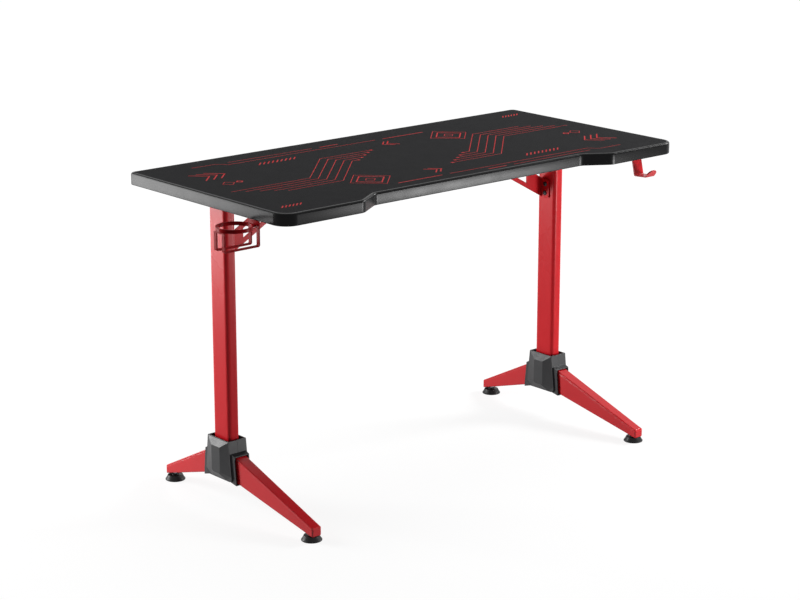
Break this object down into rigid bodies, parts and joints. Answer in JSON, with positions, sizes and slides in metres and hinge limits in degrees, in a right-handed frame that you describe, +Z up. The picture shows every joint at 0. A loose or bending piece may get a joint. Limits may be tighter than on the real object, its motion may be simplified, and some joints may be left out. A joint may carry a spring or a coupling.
{
  "type": "gaming desk",
  "caption": "Desk with a shaped front edge on two T-shaped steel legs with knee braces, levelling pads, a cup ring at its left side and a headset hook.",
  "frame": {"origin": "on the floor, in the middle of the overall outline with the cup holder", "axes": "+X along the desktop to its right, +Y from the front edge to the back, +Z up"},
  "size_m": [1.2846, 0.57, 0.75],
  "materials": {
    "board": "dark melamine underside",
    "edge": "glossy black moulded edge",
    "mat": "matt grained charcoal with red print",
    "red_paint": "red powder coat",
    "black_steel": "black powder coat",
    "black_screw": "black oxide",
    "zinc": "zinc plated",
    "cover": "fine grained black plastic",
    "pad": "matt black"
  },
  "bodies": {
    "desk": {"desktop_core": "board", "desktop_edge": "edge", "desktop_mat": "mat", "cup_ring": "red_paint", "cup_strap": "red_paint", "cup_screws": "black_screw", "headset_hook": "red_paint", "hook_screws": "black_screw", "column_left": "red_paint", "brace_left": "red_paint", "head_plate_left": "black_steel", "brace_bolts_left": "black_screw", "brace_screws_left": "black_screw", "plate_screws_left": "black_screw", "hub_left": "black_steel", "hub_clamps_left": "zinc", "cover_outer_left": "cover", "cover_inner_left": "cover", "cover_screws_left": "zinc", "foot_front_left": "red_paint", "nut_front_left": "zinc", "foot_rear_left": "red_paint", "nut_rear_left": "zinc", "column_right": "red_paint", "brace_right": "red_paint", "head_plate_right": "black_steel", "brace_bolts_right": "black_screw", "brace_screws_right": "black_screw", "plate_screws_right": "black_screw", "hub_right": "black_steel", "hub_clamps_right": "zinc", "cover_outer_right": "cover", "cover_inner_right": "cover", "cover_screws_right": "zinc", "foot_front_right": "red_paint", "nut_front_right": "zinc", "foot_rear_right": "red_paint", "nut_rear_right": "zinc"},
    "stud_front_left": {"stud_front_left": "zinc"},
    "pad_front_left": {"pad_front_left": "pad"},
    "stud_rear_left": {"stud_rear_left": "zinc"},
    "pad_rear_left": {"pad_rear_left": "pad"},
    "stud_front_right": {"stud_front_right": "zinc"},
    "pad_front_right": {"pad_front_right": "pad"},
    "stud_rear_right": {"stud_rear_right": "zinc"},
    "pad_rear_right": {"pad_rear_right": "pad"}
  },
  "joints": [
    {"name": "level_front_left", "type": "slide", "parent": "desk", "child": "stud_front_left", "axis": [0, 0, 1], "range_m": [-0.01, 0]},
    {"name": "turn_front_left", "type": "hinge", "parent": "stud_front_left", "child": "pad_front_left", "pos_m": [-0.46925, -0.255, 0], "axis": [0, 0, 1], "range_deg": [-2880, 0]},
    {"name": "level_rear_left", "type": "slide", "parent": "desk", "child": "stud_rear_left", "axis": [0, 0, 1], "range_m": [-0.01, 0]},
    {"name": "turn_rear_left", "type": "hinge", "parent": "stud_rear_left", "child": "pad_rear_left", "pos_m": [-0.46925, 0.261, 0], "axis": [0, 0, 1], "range_deg": [-2880, 0]},
    {"name": "level_front_right", "type": "slide", "parent": "desk", "child": "stud_front_right", "axis": [0, 0, 1], "range_m": [-0.01, 0]},
    {"name": "turn_front_right", "type": "hinge", "parent": "stud_front_right", "child": "pad_front_right", "pos_m": [0.55375, -0.255, 0], "axis": [0, 0, 1], "range_deg": [-2880, 0]},
    {"name": "level_rear_right", "type": "slide", "parent": "desk", "child": "stud_rear_right", "axis": [0, 0, 1], "range_m": [-0.01, 0]},
    {"name": "turn_rear_right", "type": "hinge", "parent": "stud_rear_right", "child": "pad_rear_right", "pos_m": [0.55375, 0.261, 0], "axis": [0, 0, 1], "range_deg": [-2880, 0]}
  ],
  "couplings": [
    {"joint": "turn_front_left", "follows": "level_front_left", "rad_per_m": 5026.5},
    {"joint": "turn_rear_left", "follows": "level_rear_left", "rad_per_m": 5026.5},
    {"joint": "turn_front_right", "follows": "level_front_right", "rad_per_m": 5026.5},
    {"joint": "turn_rear_right", "follows": "level_rear_right", "rad_per_m": 5026.5}
  ]
}
